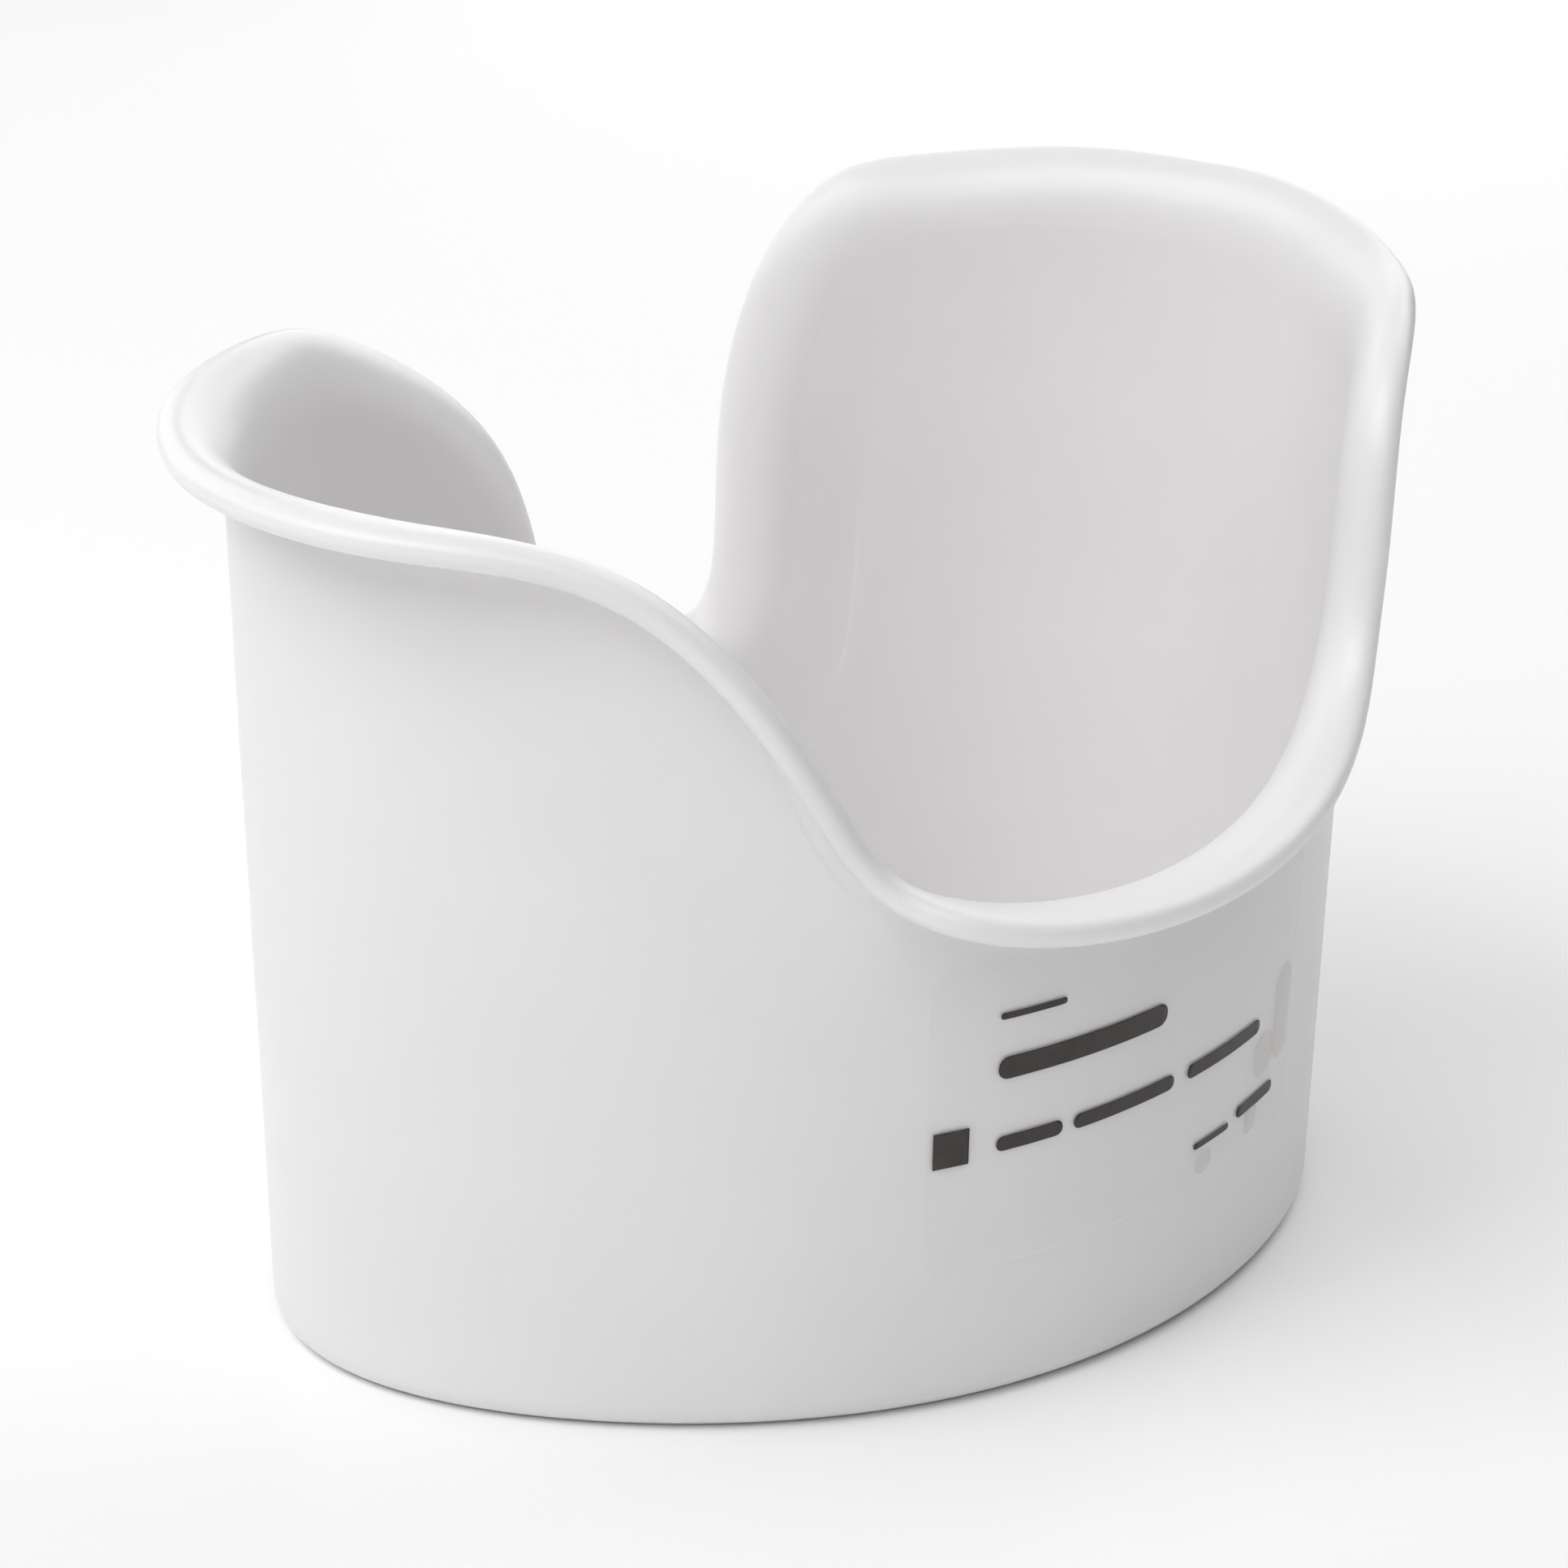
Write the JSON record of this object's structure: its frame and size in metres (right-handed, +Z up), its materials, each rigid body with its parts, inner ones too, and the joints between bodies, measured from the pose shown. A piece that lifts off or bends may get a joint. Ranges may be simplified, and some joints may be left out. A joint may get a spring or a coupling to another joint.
{
  "type": "ear wash basin",
  "caption": "Oval hand-held basin with a flared lip, a tall splash wall at one end, a lower one at the other and a wide saddle between them, to catch water under an ear.",
  "frame": {"origin": "centre of the oval foot, on the face it stands on", "axes": "+Z up out of the basin, +X along the oval towards the tall splash wall, -Y towards the wide saddle and the label"},
  "size_m": [0.1341, 0.1041, 0.1078],
  "materials": {
    "basin": "semi-gloss white moulding",
    "label_film": "clear glossy film",
    "label_print": "black print"
  },
  "bodies": {
    "root": {"basin": "basin", "label_film": "label_film", "label_print": "label_print"}
  },
  "joints": []
}
